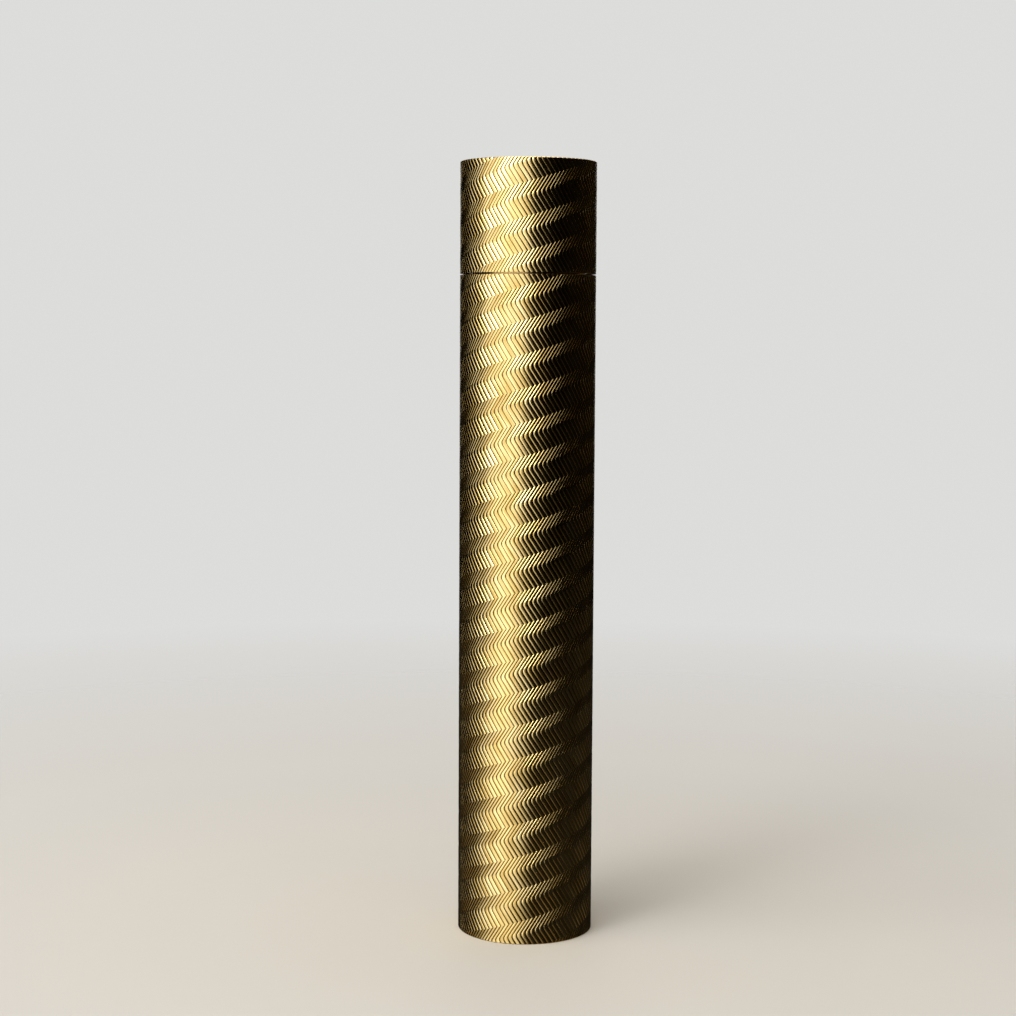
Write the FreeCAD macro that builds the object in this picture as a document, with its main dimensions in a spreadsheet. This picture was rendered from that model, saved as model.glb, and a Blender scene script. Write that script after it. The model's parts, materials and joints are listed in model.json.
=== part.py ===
"""Slim twist-up lipstick case, closed and standing upright, in millimetres.

A long ribbed cover ("case") stands on its closed end. A short ribbed base ("head") closes it from
above. From the head a polished sleeve hangs down inside the case, and inside the sleeve the
swivel mechanism holds the lipstick with its tip pointing down. Turning the head turns the slotted
carrier, whose slots carry the two lugs of the follower round the spiral grooves of the cam. The
cup and the lipstick then come down out of the sleeve's mouth.

+Z is up and the origin is the centre of the face that the case stands on.
"""
import FreeCAD, Part
import os
import re
import Sketcher

# Driving dimensions: alias, value (millimetres, degrees or a count), what it is.
DIMENSIONS = [
    ("ShellRadius", 7.5, "outside radius of both ribbed shells"),
    ("ShellWall", 0.42, "wall of both ribbed shells"),
    ("TotalHeight", 85.3, "height of the closed object"),
    ("SeamHeight", 73.0, "height of the case's open rim"),
    ("SeamGap", 0.12, "gap between the case and the head"),
    ("EndThickness", 1.2, "thickness of both end plates"),
    ("EndChamfer", 0.12, "chamfer round both end plates"),
    ("WeightRadius", 6.4, "radius of both steel weights"),
    ("WeightBore", 1.6, "radius of the hole in both steel weights"),
    ("CaseWeightHeight", 6.8, "height of the weight in the case"),
    ("HeadWeightHeight", 2.1, "height of the weight in the head"),
    ("LinerWall", 0.83, "wall of the plastic liner in the case"),
    ("LinerFloor", 1.0, "floor of the plastic liner"),
    ("CaseRimHeight", 0.8, "height of the ring in the case's mouth"),
    ("HeadRimHeight", 1.3, "height of the ring in the head's mouth"),
    ("RimPlay", 0.09, "radial play between the sleeve and both rings"),
    ("RimRound", 0.25, "round on the inner edge of both rings"),
    ("ClickBelowRim", 4.0, "click ring's depth below the case's rim"),
    ("ClickWire", 0.3, "radius of the click ring's wire"),
    ("ClickCentre", 6.45, "radius of the click ring's centre line"),
    ("ClickArc", 318.0, "degrees of the circle that the click ring covers"),
    ("ClickPlay", 0.1, "play of the click ring in its groove along the axis"),
    ("ClickGroove", 6.8, "radius of the click ring's groove in the liner"),
    ("ClickDent", 0.12, "depth of the groove in the sleeve that the click ring finds"),
    ("SleeveRadius", 6.1, "outside radius of the polished sleeve"),
    ("SleeveWall", 0.3, "wall of the polished sleeve"),
    ("SleeveMouth", 34.0, "height of the sleeve's open end"),
    ("LipWidth", 0.5, "how far the sleeve's rolled lip turns inwards"),
    ("LipThickness", 0.5, "height of the rolled lip"),
    ("LipRound", 0.22, "round on the rolled lip's outer and inner edge"),
    ("FlangeRadius", 6.7, "radius of the sleeve's holding flange"),
    ("FlangeThickness", 0.4, "thickness of the holding flange"),
    ("AxialPlay", 0.1, "play along the axis between turning pieces"),
    ("WasherThickness", 0.3, "thickness of the slip washer"),
    ("WasherRadius", 6.9, "outside radius of the slip washer"),
    ("CamBore", 4.95, "bore of the spiral cam"),
    ("CamRecess", 4.05, "how far the cam starts above the sleeve's mouth"),
    ("GrooveDepth", 0.55, "depth of the spiral grooves"),
    ("GrooveHeight", 1.9, "height of the spiral grooves along the axis"),
    ("GrooveOverrun", 10.0, "degrees that a groove runs past each end of the travel"),
    ("GrooveCount", 2.0, "number of spiral grooves"),
    ("HelixLead", 24.0, "rise of the spiral grooves in one turn, which is the cup's travel"),
    ("CarrierRadius", 4.85, "outside radius of the slotted carrier"),
    ("CarrierBore", 4.2, "bore of the slotted carrier"),
    ("CarrierLipRadius", 5.4, "radius of the lip that holds the cam up"),
    ("CarrierLipHeight", 0.9, "height of that lip"),
    ("CarrierRoof", 1.0, "thickness of the carrier's closed end"),
    ("SlotWidth", 1.44, "width of the carrier's two slots"),
    ("InsertRoof", 2.0, "thickness of the head insert above the carrier"),
    ("RivetRadius", 1.0, "radius of the rivet's shank"),
    ("RivetHeadRadius", 1.8, "radius of the rivet's two heads"),
    ("RivetHeadHeight", 0.6, "height of the rivet's two heads"),
    ("BrakeSeat", 4.45, "radius of the grooves that the brake rings sit in"),
    ("BrakeWire", 0.23, "radius of the brake rings' section"),
    ("BrakeSeatHeight", 0.6, "height of the brake rings' grooves"),
    ("BrakeAboveTravel", 3.5, "upper brake ring's height above the lugs' highest place"),
    ("BrakeBelowTravel", 2.7, "lower brake ring's depth below the lugs' lowest place"),
    ("TipRecess", 1.6, "how far the lipstick's tip hides in the sleeve"),
    ("BulletRadius", 3.6, "radius of the lipstick"),
    ("BulletReach", 20.0, "length of lipstick that stands out of its cup"),
    ("BulletSlant", 6.2, "height of the slanted face"),
    ("BulletRound", 0.55, "round on the edge of the slanted face"),
    ("CupRadius", 4.05, "outside radius of the lipstick's cup"),
    ("CupHeight", 9.0, "height of the lipstick's cup"),
    ("CupFloor", 0.8, "thickness of the cup's closed end"),
    ("CupRound", 0.2, "round on the cup's mouth"),
    ("FollowerHeight", 2.8, "height of the follower on the cup's closed end"),
    ("LugRadius", 0.6, "radius of the follower's two lugs"),
    ("LugReach", 5.4, "distance from the axis to the end of a lug"),
    ("CutOverlap", 0.2, "how far a cutting outline reaches past the piece"),
]

# Lengths (mm) and volumes (mm3) that differ by less than this count as the same.
CLOSE = 1e-4

# Places worked out from the dimensions, as formulas.
SHELL_BORE = "(ShellRadius - ShellWall)"
RIM_BORE = "(SleeveRadius + RimPlay)"
CASE_WEIGHT_TOP = "(EndThickness + CaseWeightHeight)"
LINER_BORE = "(ShellRadius - ShellWall - LinerWall)"
LINER_FLOOR_TOP = f"({CASE_WEIGHT_TOP} + LinerFloor)"
CASE_RIM_LOW = "(SeamHeight - CaseRimHeight)"
CLICK_HEIGHT = "(SeamHeight - ClickBelowRim)"
CLICK_SEAT = "(ClickWire + ClickPlay)"
HEAD_LOW = "(SeamHeight + SeamGap)"
HEAD_RIM_TOP = f"({HEAD_LOW} + HeadRimHeight)"
SLEEVE_BORE = "(SleeveRadius - SleeveWall)"
FLANGE_LOW = f"({HEAD_RIM_TOP} + AxialPlay)"
FLANGE_TOP = f"({FLANGE_LOW} + FlangeThickness)"
WASHER_LOW = f"({FLANGE_TOP} + AxialPlay)"
INSERT_LOW = f"({WASHER_LOW} + WasherThickness)"
END_PLATE_LOW = "(TotalHeight - EndThickness)"
INSERT_TOP = f"({END_PLATE_LOW} - HeadWeightHeight)"
CARRIER_TOP = f"({INSERT_TOP} - InsertRoof)"
CAM_LOW = "(SleeveMouth + CamRecess)"
CARRIER_LIP_TOP = f"({CAM_LOW} - AxialPlay)"
CARRIER_LOW = f"({CARRIER_LIP_TOP} - CarrierLipHeight)"
BULLET_TIP = "(SleeveMouth + TipRecess)"
CUP_LOW = f"({BULLET_TIP} + BulletReach)"
CUP_TOP = f"({CUP_LOW} + CupHeight)"
FOLLOWER_TOP = f"({CUP_TOP} + FollowerHeight)"
LUG_HIGH = f"({CUP_TOP} + FollowerHeight / 2)"
LUG_LOW = f"({LUG_HIGH} - HelixLead)"
BRAKE_CENTRE = "(BrakeSeat + BrakeWire)"
BRAKE_HIGH = f"({LUG_HIGH} + BrakeAboveTravel)"
BRAKE_LOW = f"({LUG_LOW} - BrakeBelowTravel)"


def linked(formula):
    """Turn a formula of aliases into an expression that reads the sheet's cells."""
    return re.sub(r"[A-Za-z]\w*", lambda word: "Dims." + word.group(), formula)


class Model:
    """The document, its sheet of driving dimensions and the sub-parts made so far."""

    def __init__(self):
        self.doc = FreeCAD.newDocument("LipstickCase")
        self.sheet = self.doc.addObject("Spreadsheet::Sheet", "Dims")
        for row, (alias, number, meaning) in enumerate(DIMENSIONS, start=1):
            self.sheet.set(f"A{row}", meaning)
            self.sheet.set(f"B{row}", str(number))
            self.sheet.setAlias(f"B{row}", alias)
        self.doc.recompute()
        self.sub_parts = []

    def value(self, formula):
        """The number that a formula of aliases gives."""
        return float(self.sheet.evalExpression(linked(formula)))

    def body(self, node):
        """An empty body for one sub-part."""
        body = self.doc.addObject("PartDesign::Body", node)
        body.Label = node
        self.sub_parts.append(body)
        return body

    def torus(self, node, centre_line, section, height, arc="360"):
        """A ring of round wire about the axis, with its middle at a height."""
        ring = self.doc.addObject("Part::Torus", node)
        ring.Label = node
        ring.setExpression("Radius1", linked(centre_line))
        ring.setExpression("Radius2", linked(section))
        ring.setExpression("Angle3", linked(arc))
        ring.setExpression("Placement.Base.z", linked(height))
        self.sub_parts.append(ring)


def sketch_on(body, plane_role, name):
    """A sketch on one of the body's own origin planes."""
    sketch = body.newObject("Sketcher::SketchObject", name)
    plane = next(item for item in body.Origin.OriginFeatures if item.Role == plane_role)
    sketch.AttachmentSupport = [(plane, "")]
    sketch.MapMode = "FlatFace"
    return sketch


def place_point(model, sketch, geometry, point, across, up):
    """Bind one sketch point's two coordinates to formulas."""
    for kind, formula in (("DistanceX", across), ("DistanceY", up)):
        number = model.value(formula)
        index = sketch.addConstraint(Sketcher.Constraint(kind, -1, 1, geometry, point, number))
        sketch.setExpression(f"Constraints[{index}]", linked(formula))


def polygon(model, sketch, corners):
    """Draw a closed outline whose corners are (across, up) formulas."""
    spots = [FreeCAD.Vector(model.value(across), model.value(up), 0) for across, up in corners]
    count = len(corners)
    for index in range(count):
        line = Part.LineSegment(spots[index], spots[(index + 1) % count])
        sketch.addGeometry(line)
    for index in range(count):
        joined = Sketcher.Constraint("Coincident", index, 2, (index + 1) % count, 1)
        sketch.addConstraint(joined)
    for index, (across, up) in enumerate(corners):
        place_point(model, sketch, index, 1, across, up)


def circle(model, sketch, radius, height):
    """Draw a circle on the sketch's vertical axis."""
    centre = FreeCAD.Vector(0, model.value(height), 0)
    index = sketch.addGeometry(Part.Circle(centre, FreeCAD.Vector(0, 0, 1), model.value(radius)))
    size = sketch.addConstraint(Sketcher.Constraint("Radius", index, model.value(radius)))
    sketch.setExpression(f"Constraints[{size}]", linked(radius))
    place_point(model, sketch, index, 3, "0", height)


def revolved(model, node, corners):
    """A body turned from an outline of (radius, height) corners."""
    body = model.body(node)
    outline = sketch_on(body, "XZ_Plane", node + "_outline")
    polygon(model, outline, corners)
    turned = body.newObject("PartDesign::Revolution", node + "_turned")
    turned.Profile = outline
    turned.ReferenceAxis = (outline, ["V_Axis"])
    turned.Angle = 360
    model.doc.recompute()
    return body


def ring_corners(inner, outer, low, high):
    """The outline of a plain ring or, with inner radius 0, of a plain disc."""
    return [(inner, low), (outer, low), (outer, high), (inner, high)]


def round_edges(model, body, kind, size, circles):
    """Fillet or chamfer the body's circular edges at the given (radius, height) formulas."""
    base = body.Tip
    wanted = [(model.value(radius), model.value(height)) for radius, height in circles]
    names = []
    for index, edge in enumerate(base.Shape.Edges, start=1):
        if edge.Curve.TypeId != "Part::GeomCircle":
            continue
        for radius, height in wanted:
            if abs(edge.Curve.Radius - radius) < CLOSE and abs(edge.Curve.Center.z - height) < CLOSE:
                names.append(f"Edge{index}")
    dress = body.newObject("PartDesign::" + kind, body.Name + "_edges")
    dress.Base = (base, names)
    size_property = "Radius" if kind == "Fillet" else "Size"
    dress.setExpression(size_property, linked(size))
    model.doc.recompute()


def cut_volume(model, body, feature):
    """Raise an error if a cutting feature took nothing away."""
    before = feature.BaseFeature.Shape.Volume
    model.doc.recompute()
    if body.Shape.Volume > before - CLOSE:
        raise RuntimeError(feature.Name + " cuts nothing")


# --- case: the long cover, which stands on its closed end ------------------------------------

def case_shell(model):
    revolved(model, "case_shell", ring_corners(SHELL_BORE, "ShellRadius", "0", "SeamHeight"))


def case_end_plate(model):
    plate = revolved(model, "case_end_plate", ring_corners("0", SHELL_BORE, "0", "EndThickness"))
    round_edges(model, plate, "Chamfer", "EndChamfer", [(SHELL_BORE, "0")])


def case_weight(model):
    outline = ring_corners("WeightBore", "WeightRadius", "EndThickness", CASE_WEIGHT_TOP)
    revolved(model, "case_weight", outline)


def case_liner(model):
    """A closed-ended plastic tube with a groove for the click ring near its mouth."""
    groove_low = f"{CLICK_HEIGHT} - {CLICK_SEAT}"
    groove_high = f"{CLICK_HEIGHT} + {CLICK_SEAT}"
    revolved(model, "case_liner", [
        ("0", CASE_WEIGHT_TOP),
        (SHELL_BORE, CASE_WEIGHT_TOP),
        (SHELL_BORE, CASE_RIM_LOW),
        (LINER_BORE, CASE_RIM_LOW),
        (LINER_BORE, groove_high),
        ("ClickGroove", groove_high),
        ("ClickGroove", groove_low),
        (LINER_BORE, groove_low),
        (LINER_BORE, LINER_FLOOR_TOP),
        ("0", LINER_FLOOR_TOP),
    ])


def case_mouth_ring(model):
    outline = ring_corners(RIM_BORE, SHELL_BORE, CASE_RIM_LOW, "SeamHeight")
    ring = revolved(model, "case_mouth_ring", outline)
    round_edges(model, ring, "Fillet", "RimRound", [(RIM_BORE, "SeamHeight")])


def click_ring(model):
    """A sprung ring of round wire with a gap, loose in the liner's groove."""
    model.torus("click_ring", "ClickCentre", "ClickWire", CLICK_HEIGHT, "ClickArc")


# --- sleeve: the polished tube and the spiral cam fixed inside it ------------------------------

def sleeve(model):
    """A thin tube with a rolled lip, a shallow click groove and a holding flange."""
    lip_bore = f"({SLEEVE_BORE} - LipWidth)"
    lip_top = "(SleeveMouth + LipThickness)"
    dent_low = f"({CLICK_HEIGHT} - {CLICK_SEAT})"
    dent_high = f"({CLICK_HEIGHT} + {CLICK_SEAT})"
    tube = revolved(model, "sleeve", [
        (lip_bore, "SleeveMouth"),
        ("SleeveRadius", "SleeveMouth"),
        ("SleeveRadius", dent_low),
        ("SleeveRadius - ClickDent", dent_low),
        ("SleeveRadius - ClickDent", dent_high),
        ("SleeveRadius", dent_high),
        ("SleeveRadius", FLANGE_LOW),
        ("FlangeRadius", FLANGE_LOW),
        ("FlangeRadius", FLANGE_TOP),
        (SLEEVE_BORE, FLANGE_TOP),
        (SLEEVE_BORE, lip_top),
        (lip_bore, lip_top),
    ])
    rounded = [("SleeveRadius", "SleeveMouth"), (lip_bore, "SleeveMouth"), (lip_bore, lip_top)]
    round_edges(model, tube, "Fillet", "LipRound", rounded)


def spiral_cam(model):
    """A plastic tube with left-hand spiral grooves in its bore.

    The body is turned by the overrun, so that the lugs meet the grooves' travel ends on the X axis.
    """
    cam = revolved(model, "spiral_cam", ring_corners("CamBore", SLEEVE_BORE, CAM_LOW, FLANGE_TOP))
    section = sketch_on(cam, "XZ_Plane", "groove_section")
    start = f"({LUG_LOW} - HelixLead * GrooveOverrun / 360)"
    low = f"({start} - GrooveHeight / 2)"
    high = f"({start} + GrooveHeight / 2)"
    polygon(model, section, ring_corners("CamBore - CutOverlap", "CamBore + GrooveDepth", low, high))
    groove = cam.newObject("PartDesign::SubtractiveHelix", "groove")
    groove.Profile = section
    groove.ReferenceAxis = (section, ["V_Axis"])
    groove.Mode = "pitch-height-angle"
    groove.LeftHanded = True
    groove.setExpression("Pitch", linked("HelixLead"))
    groove.setExpression("Height", linked("HelixLead * (1 + GrooveOverrun / 180)"))
    cut_volume(model, cam, groove)
    grooves = cam.newObject("PartDesign::PolarPattern", "grooves")
    grooves.Originals = [groove]
    grooves.Axis = (section, ["V_Axis"])
    grooves.Angle = 360
    grooves.setExpression("Occurrences", linked("GrooveCount"))
    cam.Tip = grooves
    cam.Placement.Rotation = FreeCAD.Rotation(FreeCAD.Vector(0, 0, 1), model.value("GrooveOverrun"))
    model.doc.recompute()


# --- head: the short base on top, with everything that turns with it ---------------------------

def head_shell(model):
    revolved(model, "head_shell", ring_corners(SHELL_BORE, "ShellRadius", HEAD_LOW, "TotalHeight"))


def head_end_plate(model):
    outline = ring_corners("0", SHELL_BORE, END_PLATE_LOW, "TotalHeight")
    plate = revolved(model, "head_end_plate", outline)
    round_edges(model, plate, "Chamfer", "EndChamfer", [(SHELL_BORE, "TotalHeight")])


def head_weight(model):
    outline = ring_corners("WeightBore", "WeightRadius", INSERT_TOP, END_PLATE_LOW)
    revolved(model, "head_weight", outline)


def head_insert(model):
    """A plastic plug that holds the carrier, with a recess for the rivet's upper head."""
    recess_low = f"({INSERT_TOP} - RivetHeadHeight)"
    revolved(model, "head_insert", [
        ("CarrierRadius", INSERT_LOW),
        (SHELL_BORE, INSERT_LOW),
        (SHELL_BORE, INSERT_TOP),
        ("RivetHeadRadius", INSERT_TOP),
        ("RivetHeadRadius", recess_low),
        ("RivetRadius", recess_low),
        ("RivetRadius", CARRIER_TOP),
        ("CarrierRadius", CARRIER_TOP),
    ])


def head_mouth_ring(model):
    outline = ring_corners(RIM_BORE, SHELL_BORE, HEAD_LOW, HEAD_RIM_TOP)
    ring = revolved(model, "head_mouth_ring", outline)
    round_edges(model, ring, "Fillet", "RimRound", [(RIM_BORE, HEAD_LOW)])


def slip_washer(model):
    """A slippery washer under the insert that the sleeve's flange turns against."""
    outline = ring_corners("CarrierRadius", "WasherRadius", WASHER_LOW, INSERT_LOW)
    revolved(model, "slip_washer", outline)


def slotted_carrier(model):
    """A closed-ended tube with a lip under the cam, two brake ring seats and two straight slots."""
    corners = [("CarrierBore", CARRIER_LOW), ("CarrierLipRadius", CARRIER_LOW)]
    corners += [("CarrierLipRadius", CARRIER_LIP_TOP), ("CarrierRadius", CARRIER_LIP_TOP)]
    for centre in (BRAKE_LOW, BRAKE_HIGH):
        seat_low = f"({centre} - BrakeSeatHeight / 2)"
        seat_high = f"({centre} + BrakeSeatHeight / 2)"
        corners += [("CarrierRadius", seat_low), ("BrakeSeat", seat_low)]
        corners += [("BrakeSeat", seat_high), ("CarrierRadius", seat_high)]
    corners += [("CarrierRadius", CARRIER_TOP), ("RivetRadius", CARRIER_TOP)]
    corners += [("RivetRadius", f"({CARRIER_TOP} - CarrierRoof)")]
    corners += [("CarrierBore", f"({CARRIER_TOP} - CarrierRoof)")]
    carrier = revolved(model, "slotted_carrier", corners)
    side_view = sketch_on(carrier, "YZ_Plane", "slot_outline")
    half_width = "SlotWidth / 2"
    low = f"({LUG_LOW} - {half_width})"
    high = f"({LUG_HIGH} + {half_width})"
    polygon(model, side_view, ring_corners(f"-{half_width}", half_width, low, high))
    slots = carrier.newObject("PartDesign::Pocket", "slots")
    slots.Profile = side_view
    slots.Midplane = True
    slots.setExpression("Length", linked("CarrierLipRadius * 2"))
    cut_volume(model, carrier, slots)


def carrier_rivet(model):
    """A two-headed rivet through the carrier's closed end and the insert."""
    roof_low = f"({CARRIER_TOP} - CarrierRoof)"
    recess_low = f"({INSERT_TOP} - RivetHeadHeight)"
    revolved(model, "carrier_rivet", [
        ("0", f"({roof_low} - RivetHeadHeight)"),
        ("RivetHeadRadius", f"({roof_low} - RivetHeadHeight)"),
        ("RivetHeadRadius", roof_low),
        ("RivetRadius", roof_low),
        ("RivetRadius", recess_low),
        ("RivetHeadRadius", recess_low),
        ("RivetHeadRadius", INSERT_TOP),
        ("0", INSERT_TOP),
    ])


def brake_rings(model):
    """Two rubber rings that give the twist its drag."""
    for node, height in (("brake_ring_upper", BRAKE_HIGH), ("brake_ring_lower", BRAKE_LOW)):
        model.torus(node, BRAKE_CENTRE, "BrakeWire", height)


# --- cup: the pieces that travel ---------------------------------------------------------------

def cup_follower(model):
    """A disc on the cup's closed end with a round lug on each side."""
    disc = revolved(model, "cup_follower", ring_corners("0", "CupRadius", CUP_TOP, FOLLOWER_TOP))
    side_view = sketch_on(disc, "YZ_Plane", "lug_outline")
    circle(model, side_view, "LugRadius", LUG_HIGH)
    lugs = disc.newObject("PartDesign::Pad", "lugs")
    lugs.Profile = side_view
    lugs.Midplane = True
    lugs.setExpression("Length", linked("LugReach * 2"))
    model.doc.recompute()


def bullet_cup(model):
    floor_low = f"({CUP_TOP} - CupFloor)"
    cup = revolved(model, "bullet_cup", [
        ("BulletRadius", CUP_LOW),
        ("CupRadius", CUP_LOW),
        ("CupRadius", CUP_TOP),
        ("0", CUP_TOP),
        ("0", floor_low),
        ("BulletRadius", floor_low),
    ])
    round_edges(model, cup, "Fillet", "CupRound", [("CupRadius", CUP_LOW)])


def lipstick_bullet(model):
    """A round stick with a slanted, rounded face whose tip points down on the +X side."""
    blank_low = f"({BULLET_TIP} - CutOverlap)"
    floor_low = f"({CUP_TOP} - CupFloor)"
    bullet = revolved(model, "lipstick_bullet", ring_corners("0", "BulletRadius", blank_low, floor_low))
    side_view = sketch_on(bullet, "XZ_Plane", "slant_outline")
    cut_low = f"({blank_low} - CutOverlap)"
    extra = "(CutOverlap * BulletSlant / (BulletRadius * 2))"
    wide = "(BulletRadius + CutOverlap)"
    polygon(model, side_view, [
        (f"-{wide}", cut_low),
        (wide, cut_low),
        (wide, f"({BULLET_TIP} - {extra})"),
        (f"-{wide}", f"({BULLET_TIP} + BulletSlant + {extra})"),
    ])
    slant = bullet.newObject("PartDesign::Pocket", "slant")
    slant.Profile = side_view
    slant.Midplane = True
    slant.setExpression("Length", linked(f"{wide} * 2"))
    cut_volume(model, bullet, slant)
    names = [f"Edge{index}" for index, edge in enumerate(bullet.Shape.Edges, start=1)
             if edge.Curve.TypeId == "Part::GeomEllipse"]
    dress = bullet.newObject("PartDesign::Fillet", "slant_round")
    dress.Base = (slant, names)
    dress.setExpression("Radius", linked("BulletRound"))
    model.doc.recompute()


def check_and_write(model):
    """Stop on any failed object or bad shape, then write one file per sub-part."""
    for item in model.doc.Objects:
        if "Invalid" in item.State or "Error" in item.State:
            raise RuntimeError(f"{item.Label} is {item.State}")
    for item in model.sub_parts:
        if item.Shape.isNull() or not item.Shape.isValid() or len(item.Shape.Solids) != 1:
            raise RuntimeError(item.Label + " has no single valid solid")
    os.makedirs("parts", exist_ok=True)
    for item in model.sub_parts:
        item.Shape.exportStep(f"parts/{item.Label}.step")
        print(f"{item.Label:18s} {item.Shape.Volume:9.2f} mm3")


def main():
    model = Model()
    case_shell(model)
    case_end_plate(model)
    case_weight(model)
    case_liner(model)
    case_mouth_ring(model)
    click_ring(model)
    sleeve(model)
    spiral_cam(model)
    head_shell(model)
    head_end_plate(model)
    head_weight(model)
    head_insert(model)
    head_mouth_ring(model)
    slip_washer(model)
    slotted_carrier(model)
    carrier_rivet(model)
    brake_rings(model)
    cup_follower(model)
    bullet_cup(model)
    lipstick_bullet(model)
    model.doc.recompute()
    check_and_write(model)


main()
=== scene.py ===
"""Looks of a slim twist-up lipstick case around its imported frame. Metres, +Z up."""
import json
import math

import bmesh
import bpy
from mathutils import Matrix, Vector


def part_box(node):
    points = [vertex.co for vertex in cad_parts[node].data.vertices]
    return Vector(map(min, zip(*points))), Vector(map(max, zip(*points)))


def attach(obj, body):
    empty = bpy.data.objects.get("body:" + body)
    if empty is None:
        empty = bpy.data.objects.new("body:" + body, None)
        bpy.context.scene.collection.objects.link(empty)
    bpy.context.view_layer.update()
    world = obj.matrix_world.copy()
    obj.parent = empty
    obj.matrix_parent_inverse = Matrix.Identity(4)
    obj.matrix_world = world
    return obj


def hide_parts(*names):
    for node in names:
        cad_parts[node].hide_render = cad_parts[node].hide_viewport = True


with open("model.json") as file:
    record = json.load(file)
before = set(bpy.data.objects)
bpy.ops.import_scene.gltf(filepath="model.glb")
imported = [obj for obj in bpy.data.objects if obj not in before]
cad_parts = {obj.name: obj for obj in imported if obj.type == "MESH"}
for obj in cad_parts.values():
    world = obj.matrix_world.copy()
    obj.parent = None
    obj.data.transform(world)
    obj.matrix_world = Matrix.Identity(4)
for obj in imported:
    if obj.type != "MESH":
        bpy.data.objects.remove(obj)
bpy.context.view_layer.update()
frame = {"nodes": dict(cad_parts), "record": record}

MM = 0.001

# --- places read from the frame ----------------------------------------------------------------


def half_width(node):
    """Half of a node's box along X, which is the radius of a round node."""
    low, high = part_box(node)
    return (high[0] - low[0]) / 2


def span(node):
    """The lowest and the highest point of a node."""
    low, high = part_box(node)
    return low[2], high[2]


SHELL_RADIUS = half_width("case_shell")
SHELL_BORE = half_width("case_end_plate")
CASE_LOW, SEAM = span("case_shell")
HEAD_LOW, TOP = span("head_shell")
SLEEVE_BORE = half_width("spiral_cam")
SLEEVE_RADIUS = SLEEVE_BORE + 0.3 * MM
RIM_BORE = SLEEVE_RADIUS + 0.09 * MM   # the mouth rings leave the sleeve a little play
LINER_BORE = SHELL_BORE - 0.83 * MM
CLICK_LOW, CLICK_HIGH = span("click_ring")
CLICK_HEIGHT = (CLICK_LOW + CLICK_HIGH) / 2
CLICK_SEAT = 0.4 * MM                  # half the height of the click ring's grooves

# --- the engine-turned pattern -----------------------------------------------------------------

RIBS = 96
PERIOD = 0.485 * SHELL_RADIUS          # height of one zigzag
STARTS = 4                             # zigzag rows climb this many periods in one turn
SWING = 0.160                          # radians from a left-hand corner to a right-hand one
RELIEF = 0.085 * MM                    # depth of the grooves between ribs
RIM_CHAMFER = 0.05 * MM                # chamfer on both ends of each ribbed shell
CUT_TOLERANCE = 1e-8
RING_RECESS = 0.12 * MM                # how far each mouth ring lies behind its rim

# One rib across: (share of the rib's width, share of the relief's depth). It starts in its groove,
# has a steep narrow wall at each side and a nearly flat crest.
RIB_SECTION = [(0.0, 1.0), (0.045, 0.38), (0.15, 0.13), (0.3, 0.03), (0.5, 0.0), (0.7, 0.03),
               (0.85, 0.13), (0.955, 0.38)]
WALLS = (0, len(RIB_SECTION) - 1)      # which of a rib's faces are its walls
# One zigzag upwards: (share of the period, share of the swing). The left corner is rounded.
ZIGZAG = [(0.03, 0.085), (0.08, 0.20), (0.40, 1.0), (0.655, 0.575), (0.91, 0.15), (0.97, 0.085)]
RIGHT_CORNER = 2                       # the point of ZIGZAG that is its sharp right-hand corner
PHASE = 0.35                           # share of a period that the whole pattern is raised
HEAD_OFFSET = 0.4                      # ribs that the head's pattern is turned against the case's
RIB_MAP = "ribs"                       # UV map: ribs counted round the shell, periods counted upwards


def rib_columns(bm, first, rows, offset):
    """The columns of a pattern that starts at period first: their vertices and places on the UV map.

    Each column follows a rib, so the mesh's edges lie along grooves and crests. The last column is
    the first one again, a whole number of rows further up. offset turns the pattern, in ribs.
    """
    columns = RIBS * len(RIB_SECTION)
    vertices = []
    places = []
    for column in range(columns + 1):
        share, depth = RIB_SECTION[column % len(RIB_SECTION)]
        rib = column // len(RIB_SECTION) + share
        radius = SHELL_RADIUS - RELIEF * depth
        line = []
        uv_line = []
        for row in range(rows):
            rise, swing = ZIGZAG[row % len(ZIGZAG)]
            phase = first + row // len(ZIGZAG) + rise + PHASE
            angle = (rib + offset) * math.tau / RIBS + SWING * swing
            height = PERIOD * (phase + STARTS * angle / math.tau)
            if column < columns:
                spot = (radius * math.cos(angle), radius * math.sin(angle), height)
                line.append(bm.verts.new(spot))
            uv_line.append((rib, phase))
        vertices.append(line)
        places.append(uv_line)
    vertices[columns] = vertices[0][STARTS * len(ZIGZAG):]
    return vertices, places


def ribbed_mesh(low, high, offset):
    """A bmesh of zigzag ribs on a cylinder, with ragged open ends just past low and high."""
    first = math.floor(low / PERIOD) - STARTS - 1
    periods = math.ceil(high / PERIOD) + 1 - first
    bm = bmesh.new()
    uv_layer = bm.loops.layers.uv.new(RIB_MAP)
    vertices, places = rib_columns(bm, first, periods * len(ZIGZAG), offset)
    for column in range(len(vertices) - 1):
        left, right = vertices[column], vertices[column + 1]
        left_places, right_places = places[column], places[column + 1]
        for row in range(min(len(left), len(right)) - 1):
            corners = (left[row], right[row], right[row + 1], left[row + 1])
            heights = [corner.co.z for corner in corners]
            if max(heights) < low or min(heights) > high:
                continue
            face = bm.faces.new(corners)
            face.smooth = True
            spots = (left_places[row], right_places[row], right_places[row + 1], left_places[row + 1])
            for loop, spot in zip(face.loops, spots):
                loop[uv_layer].uv = spot
            lower, right_side, _, left_side = face.edges
            if column % len(RIB_SECTION) in WALLS:
                left_side.smooth = False
                right_side.smooth = False
            if row % len(ZIGZAG) == RIGHT_CORNER:
                lower.smooth = False
    bmesh.ops.delete(bm, geom=[vert for vert in bm.verts if not vert.link_faces], context="VERTS")
    return bm


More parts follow.
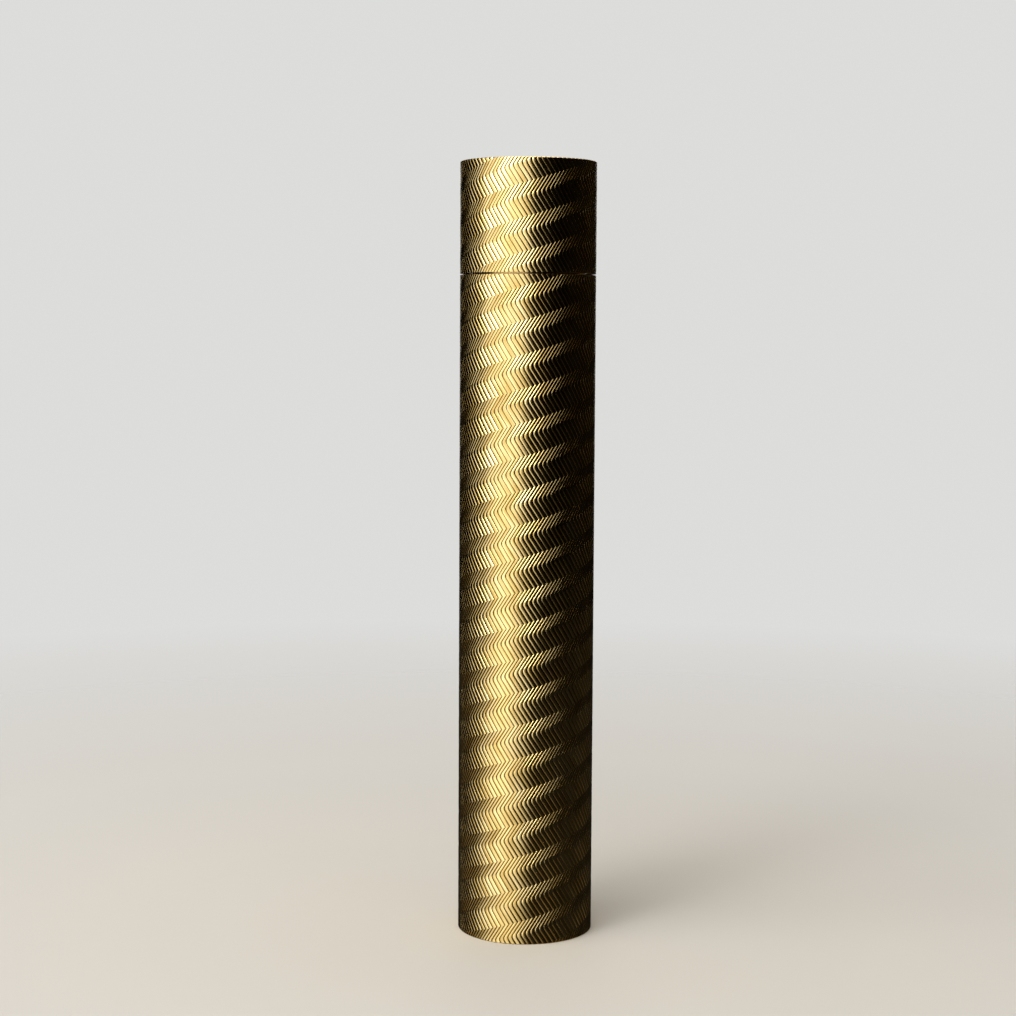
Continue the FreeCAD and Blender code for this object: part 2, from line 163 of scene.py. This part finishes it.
def of_kind(items, kind):
    """The parts of a bmesh operator's answer that are of one kind."""
    return [item for item in items if isinstance(item, kind)]


def paint_groove_shade(bm, faces):
    """Map faces to the middle of a groove, so that they take the grooves' painted shade."""
    uv_layer = bm.loops.layers.uv[RIB_MAP]
    for face in faces:
        for loop in face.loops:
            loop[uv_layer].uv = (0, 0)


def cut_rim(bm, height, upper, at_seam):
    """Cut the open mesh flat just short of a height, chamfer its edge and turn it inwards to the bore.

    The faces of a rim at the seam get the grooves' painted shade, which stands for the shade in the
    seam's gap. Returns the edges round the bore.
    """
    start = height - RIM_CHAMFER if upper else height + RIM_CHAMFER
    geometry = bm.verts[:] + bm.edges[:] + bm.faces[:]
    cut = bmesh.ops.bisect_plane(bm, geom=geometry, dist=CUT_TOLERANCE, plane_co=(0, 0, start),
                                 plane_no=(0, 0, 1), clear_outer=upper, clear_inner=not upper)
    edges = [edge for edge in of_kind(cut["geom_cut"], bmesh.types.BMEdge) if edge.is_boundary]
    for to_bore in (False, True):
        for edge in edges:
            edge.smooth = False
        made = bmesh.ops.extrude_edge_only(bm, edges=edges)["geom"]
        # a rim at the seam is painted dark with the grooves' colour: painted shade in the gap
        if at_seam:
            paint_groove_shade(bm, of_kind(made, bmesh.types.BMFace))
        moved = set(of_kind(made, bmesh.types.BMVert))
        for vert in moved:
            reach = math.hypot(vert.co.x, vert.co.y)
            share = (SHELL_BORE if to_bore else reach - RIM_CHAMFER) / reach
            vert.co = (vert.co.x * share, vert.co.y * share, height)
        edges = [edge for edge in of_kind(made, bmesh.types.BMEdge) if moved.issuperset(edge.verts)]
    for edge in edges:
        edge.smooth = False
    return edges


def ribbed_shell(name, node, body, low, high, offset):
    """A ribbed tube with the shell's plain bore."""
    bm = ribbed_mesh(low, high, offset)
    bores = cut_rim(bm, high, True, high == SEAM)
    bores += cut_rim(bm, low, False, low == HEAD_LOW)
    bmesh.ops.bridge_loops(bm, edges=bores)
    bmesh.ops.recalc_face_normals(bm, faces=bm.faces[:])
    finish_piece(name, bm, body, node, "gold_shell")


# --- skins over rings of points ----------------------------------------------------------------

SEGMENTS = 160                         # points round every turned piece


def finish_piece(name, bm, body, node, slot):
    """Make the object, let it ride on its body and stand for its CAD node."""
    mesh = bpy.data.meshes.new(name)
    bm.to_mesh(mesh)
    bm.free()
    piece = bpy.data.objects.new(name, mesh)
    bpy.context.scene.collection.objects.link(piece)
    mesh.materials.append(MATERIALS[slot])
    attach(piece, body)
    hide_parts(node)


def skin(bm, rings, closed=False, sharp_deg=30):
    """Join each ring of vertices to the next. A ring that repeats one vertex closes to a point."""
    pairs = list(zip(rings, rings[1:]))
    if closed:
        pairs.append((rings[-1], rings[0]))
    for lower, upper in pairs:
        for index in range(len(lower)):
            after = (index + 1) % len(lower)
            corners = [lower[index], lower[after], upper[after], upper[index]]
            corners = list(dict.fromkeys(corners))
            if len(corners) > 2:
                bm.faces.new(corners).smooth = True
    bmesh.ops.recalc_face_normals(bm, faces=bm.faces[:])
    for edge in bm.edges:
        if edge.is_manifold and edge.calc_face_angle(0) > math.radians(sharp_deg):
            edge.smooth = False
    return bm


def level_ring(bm, radius, height):
    """A ring of vertices about Z, or one repeated vertex on the axis."""
    if radius == 0:
        return [bm.verts.new((0, 0, height))] * SEGMENTS
    ring = []
    for index in range(SEGMENTS):
        angle = math.tau * index / SEGMENTS
        ring.append(bm.verts.new((radius * math.cos(angle), radius * math.sin(angle), height)))
    return ring


def turned_mesh(outline):
    """Turn a closed outline of (radius, height) points about Z."""
    bm = bmesh.new()
    rings = [level_ring(bm, radius, height) for radius, height in outline]
    on_axis = outline[0][0] == 0 and outline[-1][0] == 0
    return skin(bm, rings, closed=not on_axis)


def arc(centre_radius, centre_height, size, start, end, steps=6):
    """Points of an arc in the (radius, height) plane, in degrees from the outward direction."""
    points = []
    for step in range(steps + 1):
        angle = math.radians(start + (end - start) * step / steps)
        points.append((centre_radius + size * math.cos(angle), centre_height + size * math.sin(angle)))
    return points


# --- materials ---------------------------------------------------------------------------------

NOISE_ROUGHNESS = 0.55                 # of every noise texture


class Nodes:
    """The node tree of a material, a light or the world, with short calls for the nodes used here."""

    def __init__(self, tree):
        self.tree = tree

    def add(self, kind, **settings):
        node = self.tree.nodes.new(kind)
        for name, value in settings.items():
            setattr(node, name, value)
        return node

    def feed(self, socket, value):
        """Link an output to the socket, or set the socket's constant. Colours here have no alpha."""
        if isinstance(value, bpy.types.NodeSocket):
            self.tree.links.new(value, socket)
        elif socket.type == "RGBA":
            socket.default_value = (*value, 1.0)
        else:
            socket.default_value = value

    def math(self, kind, *values):
        node = self.add("ShaderNodeMath", operation=kind)
        for socket, value in zip(node.inputs, values):
            self.feed(socket, value)
        return node.outputs[0]

    def vector_math(self, kind, output, *values):
        node = self.add("ShaderNodeVectorMath", operation=kind)
        for socket, value in zip(node.inputs, values):
            self.feed(socket, value)
        return node.outputs[output]

    def split(self, vector):
        node = self.add("ShaderNodeSeparateXYZ")
        self.feed(node.inputs[0], vector)
        return node.outputs

    def remap(self, value, low, high, new_low, new_high, curve="LINEAR"):
        node = self.add("ShaderNodeMapRange", interpolation_type=curve)
        names = ("Value", "From Min", "From Max", "To Min", "To Max")
        for name, given in zip(names, (value, low, high, new_low, new_high)):
            self.feed(node.inputs[name], given)
        return node.outputs["Result"]

    def light_path(self, kind):
        return self.add("ShaderNodeLightPath").outputs[kind]

    def mix_shaders(self, factor, first, second, output):
        """Mix two shaders by a factor and make the mixture the tree's surface."""
        node = self.add("ShaderNodeMixShader")
        for socket, value in zip(node.inputs, (factor, first, second)):
            self.feed(socket, value)
        self.feed(self.tree.nodes[output].inputs["Surface"], node.outputs[0])


class Surface(Nodes):
    """The nodes of a material, around its Principled shader."""

    def __init__(self, name, **constants):
        """Constants are values of the shader's sockets, named with underscores for spaces."""
        self.material = bpy.data.materials.new(name)
        self.material.use_nodes = True
        super().__init__(self.material.node_tree)
        self.shader = self.tree.nodes["Principled BSDF"]
        for socket, value in constants.items():
            self.shader.inputs[socket.replace("_", " ")].default_value = value
        self.place = self.add("ShaderNodeTexCoord").outputs["Object"]

    def scaled(self, source, scale):
        node = self.add("ShaderNodeMapping")
        self.feed(node.inputs["Vector"], source)
        self.feed(node.inputs["Scale"], scale)
        return node.outputs["Vector"]

    def noise(self, vector, scale, detail):
        node = self.add("ShaderNodeTexNoise")
        self.feed(node.inputs["Vector"], vector)
        self.feed(node.inputs["Scale"], scale)
        self.feed(node.inputs["Detail"], detail)
        self.feed(node.inputs["Roughness"], NOISE_ROUGHNESS)
        return node.outputs["Fac"]

    def mix(self, factor, first, second):
        node = self.add("ShaderNodeMix", data_type="RGBA")
        self.feed(node.inputs["Factor"], factor)
        colors = [socket for socket in node.inputs if socket.type == "RGBA"]
        for socket, value in zip(colors, (first, second)):
            self.feed(socket, value)
        return next(socket for socket in node.outputs if socket.type == "RGBA")

    def bump(self, height, distance, strength):
        node = self.add("ShaderNodeBump")
        self.feed(node.inputs["Height"], height)
        self.feed(node.inputs["Distance"], distance)
        self.feed(node.inputs["Strength"], strength)
        return node.outputs["Normal"]

    def finish(self, color, roughness, normal=None):
        self.feed(self.shader.inputs["Base Color"], color)
        self.feed(self.shader.inputs["Roughness"], roughness)
        if normal is not None:
            self.feed(self.shader.inputs["Normal"], normal)
        return self.material


GOLD = (0.86, 0.645, 0.27)
PALE_GOLD = (0.88, 0.70, 0.35)
DEEP_GOLD = (0.80, 0.47, 0.10)
DULL_GOLD = (0.60, 0.42, 0.14)
# dark colour of the grooves: painted shade, partly grime
GROOVE_SHADE_AND_GRIME = (0.060, 0.034, 0.009)
SLEEVE_GOLD = (0.95, 0.68, 0.30)
SLEEVE_SHADE = (0.88, 0.58, 0.22)
CUP_GOLD = (0.90, 0.70, 0.38)
CUP_SHADE = (0.80, 0.58, 0.28)
WAX_RED = (0.34, 0.006, 0.016)
BLOOM_RED = (0.40, 0.012, 0.026)
DARK_GREY = (0.1, 0.1, 0.1)
MIDDLE_GREY = (0.5, 0.5, 0.5)


def between(first, second, share):
    """The colour that lies a share of the way from the first to the second."""
    return tuple(a + (b - a) * share for a, b in zip(first, second))


def gold_ribbed():
    """Cut gold: bright crests, some of them duller, with fine tool lines, and painted shade and grime in
    the grooves.
    """
    g = Surface("gold_ribbed", Metallic=1.0)
    ribs = g.add("ShaderNodeUVMap", uv_map=RIB_MAP).outputs["UV"]
    patch = g.noise(g.place, 260, 3)
    color = g.mix(g.remap(patch, 0.35, 0.65, 0, 1), GOLD, PALE_GOLD)
    cuts = g.noise(g.scaled(ribs, (0.9, 0.7, 1)), 1.0, 2)
    color = g.mix(g.remap(cuts, 0.35, 0.65, 0, 1), color, DULL_GOLD)
    from_groove = g.math("PINGPONG", g.split(ribs)["X"], 0.5)
    # mask that paints the grooves dark: painted shade, partly grime
    in_groove = g.remap(from_groove, 0.035, 0.05, 1.0, 0.0)
    color = g.mix(in_groove, color, GROOVE_SHADE_AND_GRIME)
    strokes = g.noise(g.scaled(ribs, (14, 1.6, 1)), 3.0, 2)
    smudge = g.noise(g.place, 700, 4)
    roughness = g.math("ADD", g.remap(strokes, 0.3, 0.7, 0.10, 0.16),
                       g.remap(smudge, 0.4, 0.7, 0.0, 0.04))
    roughness = g.math("ADD", roughness, g.math("MULTIPLY", in_groove, 0.2))
    return g.finish(color, roughness, g.bump(strokes, 0.004 * MM, 0.9))


def gold_turned(name, grain, shine, light=GOLD, dark=DEEP_GOLD):
    """Gold finished on a lathe: fine rings round the axis, a little smudging."""
    g = Surface(name, Metallic=1.0)
    axes = g.split(g.place)
    squares = [g.math("MULTIPLY", axes[name], axes[name]) for name in ("X", "Y")]
    join = g.add("ShaderNodeCombineXYZ")
    g.feed(join.inputs["X"], g.math("SQRT", g.math("ADD", *squares)))
    g.feed(join.inputs["Y"], axes["Z"])
    rings = g.noise(join.outputs[0], grain, 3)
    smudge = g.noise(g.place, 420, 4)
    color = g.mix(g.remap(smudge, 0.3, 0.7, 0, 1), light, between(light, dark, 0.25))
    roughness = g.math("ADD", g.remap(rings, 0.3, 0.7, shine, shine + 0.08),
                       g.remap(smudge, 0.45, 0.75, 0, 0.04))
    return g.finish(color, roughness, g.bump(rings, 0.003 * MM, 0.8))


def metal(name, color, shine, grain):
    """Plain turned or drawn metal."""
    g = Surface(name, Metallic=1.0)
    lines = g.noise(g.scaled(g.place, (1, 1, grain)), 300, 3)
    patch = g.noise(g.place, 350, 3)
    tint = g.mix(g.remap(patch, 0.3, 0.7, 0, 1), color, between(color, DARK_GREY, 0.25))
    return g.finish(tint, g.remap(lines, 0.3, 0.7, shine, shine + 0.15), g.bump(lines, 0.006 * MM, 0.7))


def plastic(name, color, shine, texture):
    """Moulded plastic with a faint flow pattern and grain."""
    g = Surface(name)
    flow = g.noise(g.place, 220, 3)
    grain = g.noise(g.place, 5200, 2)
    tint = g.mix(g.remap(flow, 0.3, 0.7, 0, 1), color, between(color, MIDDLE_GREY, 0.06))
    return g.finish(tint, g.remap(grain, 0.3, 0.7, shine, shine + 0.12), g.bump(grain, texture * MM, 0.8))


def wax():
    """Red lipstick: smooth satin wax with faint drag lines and a soft glow under the surface."""
    g = Surface("lipstick_wax", Subsurface_Weight=0.06, Subsurface_Scale=1.0,
                Subsurface_Radius=(0.6 * MM, 0.15 * MM, 0.1 * MM), Coat_Weight=0.18, Coat_Roughness=0.30)
    bloom = g.noise(g.place, 300, 4)
    drag = g.noise(g.scaled(g.place, (1, 1, 0.06)), 2600, 3)
    color = g.mix(g.remap(bloom, 0.35, 0.7, 0, 1), WAX_RED, BLOOM_RED)
    roughness = g.math("ADD", g.remap(bloom, 0.3, 0.7, 0.30, 0.42), g.remap(drag, 0.3, 0.7, 0.0, 0.06))
    return g.finish(color, roughness, g.bump(drag, 0.006 * MM, 0.6))


MATERIALS = {
    "gold_shell": gold_ribbed(),
    "gold_plate": gold_turned("gold_plate", 16000, 0.22),
    "gold_ring": gold_turned("gold_ring", 9000, 0.10),
    "sleeve_gold": gold_turned("sleeve_gold", 9000, 0.14, SLEEVE_GOLD, SLEEVE_SHADE),
    "steel_weight": metal("steel_weight", (0.46, 0.46, 0.47), 0.30, 12),
    "spring_steel": metal("spring_steel", (0.62, 0.62, 0.63), 0.16, 1),
    "liner_plastic": plastic("liner_plastic", (0.012, 0.012, 0.013), 0.22, 0.002),
    "insert_plastic": plastic("insert_plastic", (0.016, 0.016, 0.017), 0.45, 0.006),
    "cam_plastic": plastic("cam_plastic", (0.72, 0.70, 0.66), 0.38, 0.004),
    "carrier_plastic": plastic("carrier_plastic", (0.018, 0.018, 0.020), 0.34, 0.004),
    "washer_plastic": plastic("washer_plastic", (0.80, 0.79, 0.75), 0.42, 0.004),
    "follower_plastic": plastic("follower_plastic", (0.76, 0.74, 0.70), 0.38, 0.004),
    "rivet_brass": metal("rivet_brass", (0.72, 0.50, 0.20), 0.25, 6),
    "brake_rubber": plastic("brake_rubber", (0.014, 0.014, 0.014), 0.62, 0.008),
    "cup_aluminium": gold_turned("cup_aluminium", 7000, 0.16, CUP_GOLD, CUP_SHADE),
    "lipstick": wax(),
}

# --- the object --------------------------------------------------------------------------------


def end_disc(name, node, body, outward):
    """A flat turned disc with a bevelled edge, a fine ring groove and a shallow recess.

    outward is +1 for a disc that faces up and -1 for one that faces down.
    """
    low, high = span(node)
    face, back = (high, low) if outward > 0 else (low, high)
    edge = SHELL_BORE
    groove = edge - 1.1 * MM
    recess = edge - 1.9 * MM
    recess_depth = 0.10 * MM
    # the face from its edge to the axis: (radius, depth under the face)
    profile = [(edge, 0.14 * MM), (edge - 0.04 * MM, 0.05 * MM), (edge - 0.14 * MM, 0.0)]
    profile += [(groove + 0.10 * MM, 0.0), (groove + 0.03 * MM, 0.06 * MM),
                (groove - 0.03 * MM, 0.06 * MM), (groove - 0.10 * MM, 0.0)]
    profile += [(recess + 0.09 * MM, 0.0), (recess + 0.02 * MM, 0.03 * MM),
                (recess - 0.05 * MM, recess_depth), (0, recess_depth)]
    outline = [(0, back), (edge, back)] + [(radius, face - outward * depth) for radius, depth in profile]
    finish_piece(name, turned_mesh(outline), body, node, "gold_plate")


def mouth_ring(name, node, body, facing):
    """The ring in a shell's mouth. Its inner edge is rounded. facing is +1 for up and -1 for down."""
    low, high = span(node)
    rim, back = (high, low) if facing > 0 else (low, high)
    face = rim - facing * RING_RECESS
    edge = 0.25 * MM
    outline = [(SHELL_BORE, back), (SHELL_BORE, face)]
    outline += arc(RIM_BORE + edge, face - facing * edge, edge, 90 * facing, 180 * facing, 8)
    outline += [(RIM_BORE, back)]
    finish_piece(name, turned_mesh(outline), body, node, "gold_ring")


def sleeve():
    """A thin polished tube with a rolled lip, a soft click groove and a holding flange."""
    low, high = span("sleeve")
    flange_radius = half_width("sleeve")
    flange_low = high - 0.4 * MM
    lip = 0.25 * MM
    lip_bore = SLEEVE_BORE - 2 * lip
    dent = 0.12 * MM
    dent_points = 10
    outline = arc(lip_bore + lip, low + lip, lip, 180, 270)
    outline += arc(SLEEVE_RADIUS - lip, low + lip, lip, 270, 360)
    for index in range(dent_points + 1):
        share = index / dent_points
        depth = dent * (1 - math.cos(math.tau * share)) / 2
        outline.append((SLEEVE_RADIUS - depth, CLICK_HEIGHT + (2 * share - 1) * CLICK_SEAT))
    outline += [(SLEEVE_RADIUS, flange_low), (flange_radius, flange_low), (flange_radius, high)]
    outline += [(SLEEVE_BORE, high), (SLEEVE_BORE, low + 2 * lip), (lip_bore + lip, low + 2 * lip)]
    finish_piece("polished_sleeve", turned_mesh(outline), "sleeve", "sleeve", "sleeve_gold")


def liner():
    """The dark tube in the case: a lead-in at its mouth, the click groove and a rounded floor."""
    low, high = span("case_liner")
    floor = low + 1.0 * MM
    lead = 0.18 * MM
    corner = 0.9 * MM
    foot = 0.2 * MM                     # chamfer round the closed end
    seat_radius = LINER_BORE + 0.55 * MM
    ease = 0.08 * MM                    # chamfer at the mouth of the click groove
    outline = [(0, low), (SHELL_BORE - foot, low), (SHELL_BORE, low + foot), (SHELL_BORE, high)]
    outline += arc(LINER_BORE + lead, high - lead, lead, 90, 180, 5)
    for side in (+1, -1):
        mouth = [(LINER_BORE, CLICK_HEIGHT + side * (CLICK_SEAT + ease)),
                 (LINER_BORE + ease, CLICK_HEIGHT + side * CLICK_SEAT),
                 (seat_radius, CLICK_HEIGHT + side * CLICK_SEAT)]
        outline += mouth[::side]
    outline += arc(LINER_BORE - corner, floor + corner, corner, 360, 270)
    outline += [(0, floor)]
    finish_piece("liner_tube", turned_mesh(outline), "case", "case_liner", "liner_plastic")


def click_wire():
    """A sprung ring of round wire, open by 42 degrees, with rounded ends."""
    wire = (CLICK_HIGH - CLICK_LOW) / 2
    centre_line = half_width("click_ring") - wire
    end_angle = math.radians(360 - 42)
    cap = wire / centre_line            # angle that a rounded end takes up
    steps = 120
    cap_steps = 5
    section_points = 16
    stations = []                       # (angle along the ring, share of the wire's radius)
    for step in range(cap_steps):
        turn = math.pi / 2 * step / cap_steps
        stations.append((cap * (1 - math.cos(turn)), math.sin(turn)))
    for step in range(steps + 1):
        stations.append((cap + (end_angle - 2 * cap) * step / steps, 1.0))
    stations += [(end_angle - along, size) for along, size in reversed(stations[:cap_steps])]
    bm = bmesh.new()
    rings = []
    for angle, size in stations:
        ring = []
        for index in range(section_points):
            around = math.tau * index / section_points
            reach = centre_line + wire * size * math.cos(around)
            spot = (reach * math.cos(angle), reach * math.sin(angle),
                    CLICK_HEIGHT + wire * size * math.sin(around))
            if size > 0 or not ring:
                ring.append(bm.verts.new(spot))
            else:
                ring.append(ring[0])
        rings.append(ring)
    finish_piece("click_wire", skin(bm, rings, sharp_deg=60), "click", "click_ring", "spring_steel")


def cup():
    """A drawn metal cup whose mouth points down: rolled mouth, two fine beads, rounded closed end."""
    low, high = span("bullet_cup")
    outer = half_width("bullet_cup")
    bore = half_width("lipstick_bullet")
    wall = outer - 0.05 * MM
    roll = (outer - bore) / 2
    ceiling = high - 0.8 * MM
    corner = 0.3 * MM
    bead_size = 0.15 * MM
    bead_depth = 0.10 * MM              # how far a bead's centre lies inside the wall
    bead_foot = 0.22 * MM               # half the height of a bead with its feet
    outline = [(0, ceiling), (bore, ceiling)]
    outline += arc(bore + roll, low + roll, roll, 180, 360, 12)
    outline += [(outer, low + 2.2 * roll), (wall, low + 2.6 * roll)]
    for bead in (low + 2.2 * MM, high - 1.7 * MM):
        outline.append((wall, bead - bead_foot))
        outline += arc(wall - bead_depth, bead, bead_size, -48, 48)
        outline.append((wall, bead + bead_foot))
    outline += arc(wall - corner, high - corner, corner, 0, 90)
    outline += [(0, high)]
    finish_piece("drawn_cup", turned_mesh(outline), "cup", "bullet_cup", "cup_aluminium")


def bullet():
    """The lipstick: a round stick with a slanted face, rounded all round, lowest on the +X side."""
    top = span("lipstick_bullet")[1]
    radius = half_width("lipstick_bullet")
    tip = span("sleeve")[0] + 1.6 * MM
    slant = 6.2 * MM                    # height of the slanted face
    edge = 0.75 * MM                    # radius of the rounding between face and wall
    centre = tip + slant + 1.2 * MM     # height on the axis from which the skin is found
    slope = slant / (2 * radius)
    facing = 1 / math.hypot(1, slope)
    drops = 84
    halvings = 26

    def inside(x, y, z):
        to_wall = radius - math.hypot(x, y)
        to_face = (z - tip - slope * (radius - x)) * facing
        if to_wall < edge and to_face < edge:
            return math.hypot(edge - to_wall, edge - to_face) < edge
        return to_wall > 0 and to_face > 0

    def surface(azimuth, drop):
        """The point of the skin in one direction from the centre, by halving."""
        away = (math.cos(azimuth) * math.cos(drop), math.sin(azimuth) * math.cos(drop), -math.sin(drop))
        near, far = 0.0, 2 * slant
        for _ in range(halvings):
            middle = (near + far) / 2
            if inside(away[0] * middle, away[1] * middle, centre + away[2] * middle):
                near = middle
            else:
                far = middle
        return away[0] * near, away[1] * near, centre + away[2] * near

    bm = bmesh.new()
    rings = [level_ring(bm, 0, top), level_ring(bm, radius, top)]
    for step in range(drops):
        drop = math.pi / 2 * step / drops
        ring = []
        for index in range(SEGMENTS):
            ring.append(bm.verts.new(surface(math.tau * index / SEGMENTS, drop)))
        rings.append(ring)
    rings.append([bm.verts.new(surface(0, math.pi / 2))] * SEGMENTS)
    finish_piece("wax_bullet", skin(bm, rings), "cup", "lipstick_bullet", "lipstick")


def dress_frame():
    """Give every CAD node its procedural material. The pieces stand for some of them later."""
    slots = {row["node"]: row["material_slot"] for row in frame["record"]["subparts"]}
    for node, item in frame["nodes"].items():
        item.data.materials.clear()
        item.data.materials.append(MATERIALS[slots[node]])


dress_frame()
ribbed_shell("ribbed_case", "case_shell", "case", CASE_LOW, SEAM, 0.0)
ribbed_shell("ribbed_head", "head_shell", "head", HEAD_LOW, TOP, HEAD_OFFSET)
end_disc("case_end_disc", "case_end_plate", "case", -1)
end_disc("head_end_disc", "head_end_plate", "head", +1)
mouth_ring("case_rim", "case_mouth_ring", "case", +1)
mouth_ring("head_rim", "head_mouth_ring", "head", -1)
sleeve()
liner()
click_wire()
cup()
bullet()

# --- stage, lights and camera ------------------------------------------------------------------

FLOOR_FADE, FLOOR_END = 0.03, 0.24     # radii between which the floor fades out
FLOOR_HIDDEN = 0.98                    # how much weaker the floor's mirror image in the metal is
FLOOR_GAP = 0.02 * MM
FLOOR_COLORS = (0.66, 0.655, 0.64), (0.69, 0.685, 0.67)

BACKDROP_COLOR = (0.80, 0.80, 0.79)
BACKDROP_STRENGTH = 0.9
ROOM_COLOR = (1.0, 0.76, 0.42)         # of what the metal mirrors where no light is
ROOM_AXIS = (-0.62, -0.78, 0)          # from the back right to the front left

WHITE = (1.0, 1.0, 1.0)
WARM_WHITE = (1.0, 0.97, 0.92)
CORE_WHITE = (1.0, 0.98, 0.95)
LIGHTS_AIM = Vector((0, 0, 0.043))     # the middle of the closed case

EYE_LEFT = 0.278 * SHELL_RADIUS
EYE_AWAY = 29.85 * SHELL_RADIUS
EYE_HEIGHT = 8.95 * SHELL_RADIUS
SENSOR, LENS = 36, 71.7                # width and focal length, in millimetres
LOOK_DOWN, LEAN = 5.06, 0.28           # degrees


def pale_floor():
    """A round pale floor that fades out far away, where the pale world takes over."""
    bm = bmesh.new()
    bmesh.ops.create_circle(bm, cap_ends=True, segments=96, radius=FLOOR_END)
    mesh = bpy.data.meshes.new("floor")
    bm.to_mesh(mesh)
    bm.free()
    floor = bpy.data.objects.new("floor", mesh)
    floor.location.z = CASE_LOW - FLOOR_GAP
    bpy.context.scene.collection.objects.link(floor)
    g = Surface("floor_card", Specular_IOR_Level=0.0)
    tint = g.mix(g.noise(g.place, 9, 4), *FLOOR_COLORS)
    mesh.materials.append(g.finish(tint, g.remap(g.noise(g.place, 800, 2), 0.3, 0.7, 0.50, 0.60)))
    reach = g.vector_math("LENGTH", "Value", g.place)
    mirrored = g.math("MULTIPLY", g.light_path("Is Glossy Ray"), FLOOR_HIDDEN)
    fade = g.math("MAXIMUM", g.remap(reach, FLOOR_FADE, FLOOR_END, 0.0, 1.0), mirrored)
    clear = g.add("ShaderNodeBsdfTransparent")
    g.mix_shaders(fade, g.shader.outputs[0], clear.outputs[0], "Material Output")


def fade_to_edges(light, core, edge):
    """Fade an area light out from a share core of its half size to a share edge of it."""
    light.use_nodes = True
    g = Nodes(light.node_tree)
    place = g.add("ShaderNodeNewGeometry").outputs["Parametric"]
    off_centre = g.vector_math("SUBTRACT", "Vector", place, (0.5, 0.5, 0))
    reach = g.vector_math("LENGTH", "Value", off_centre)
    fade = g.remap(reach, core / 2, edge / 2, 1.0, 0.0, "SMOOTHERSTEP")
    g.feed(g.tree.nodes["Emission"].inputs["Strength"], fade)


def softbox(name, azimuth, elevation, distance, size, radiance, color=WHITE, fade=None):
    """A rectangular light that faces the case, with the size and radiance given.

    Azimuth is in degrees to the right of the front, seen from above. fade holds the shares of the
    half size between which the light fades out.
    """
    light = bpy.data.lights.new(name, "AREA")
    light.shape = "RECTANGLE"
    light.size, light.size_y = size
    light.energy = radiance * math.pi * light.size * light.size_y
    light.color = color
    if fade is not None:
        fade_to_edges(light, *fade)
    lamp = bpy.data.objects.new(name, light)
    around = math.radians(azimuth)
    up = math.radians(elevation)
    away = Vector((math.sin(around) * math.cos(up), -math.cos(around) * math.cos(up), math.sin(up)))
    lamp.location = LIGHTS_AIM + away * distance
    lamp.rotation_euler = away.to_track_quat("Z", "Y").to_euler()
    bpy.context.scene.collection.objects.link(lamp)


def pale_world():
    """A pale backdrop for the camera, and a dim room for what the metal mirrors.

    The room is darkest at eye level and brighter well above and below. It is brighter towards the
    front left and the back right than between them.
    """
    world = bpy.data.worlds.new("studio")
    world.use_nodes = True
    g = Nodes(world.node_tree)
    backdrop = g.tree.nodes["Background"]
    g.feed(backdrop.inputs["Color"], BACKDROP_COLOR)
    g.feed(backdrop.inputs["Strength"], BACKDROP_STRENGTH)
    direction = g.add("ShaderNodeTexCoord").outputs["Generated"]
    steepness = g.math("ABSOLUTE", g.split(direction)["Z"])
    rise = g.remap(steepness, 0.35, 0.85, 0.004, 0.60, "SMOOTHSTEP")
    along_axis = g.math("ABSOLUTE", g.vector_math("DOT_PRODUCT", "Value", direction, ROOM_AXIS))
    sides = g.remap(along_axis, 0.05, 0.60, 0.12, 1.0, "SMOOTHSTEP")
    room = g.add("ShaderNodeBackground")
    g.feed(room.inputs["Color"], ROOM_COLOR)
    g.feed(room.inputs["Strength"], g.math("MULTIPLY", rise, sides))
    g.mix_shaders(g.light_path("Is Camera Ray"), room.outputs[0], backdrop.outputs[0], "World Output")
    bpy.context.scene.world = world


def camera():
    """The reference view: level with the upper part, looking slightly down."""
    data = bpy.data.cameras.new("view")
    data.sensor_width = SENSOR
    data.lens = LENS
    data.clip_start = 0.01
    eye = bpy.data.objects.new("view", data)
    eye.location = (-EYE_LEFT, -EYE_AWAY, EYE_HEIGHT)
    eye.rotation_mode = "ZYX"
    eye.rotation_euler = (math.radians(90 - LOOK_DOWN), 0, math.radians(LEAN))
    bpy.context.scene.collection.objects.link(eye)
    bpy.context.scene.camera = eye


pale_floor()
pale_world()
# the highlight at the front left, its hot middle, its lower end, and light from behind and above
softbox("key", -41, 25, 0.60, (1.42, 1.20), 1.5, WARM_WHITE, fade=(0.62, 1.0))
softbox("core", -41, 20, 0.59, (0.44, 0.36), 9.0, CORE_WHITE, fade=(0.2, 1.0))
softbox("low", -42, -21, 0.60, (1.30, 0.44), 1.3, WARM_WHITE, fade=(0.2, 1.0))
softbox("back", 180, 15, 0.70, (0.60, 1.10), 1.6, fade=(0.3, 1.0))
softbox("top", 0, 90, 0.70, (0.50, 0.50), 2.4)
camera()
bpy.context.scene.view_settings.view_transform = "Standard"
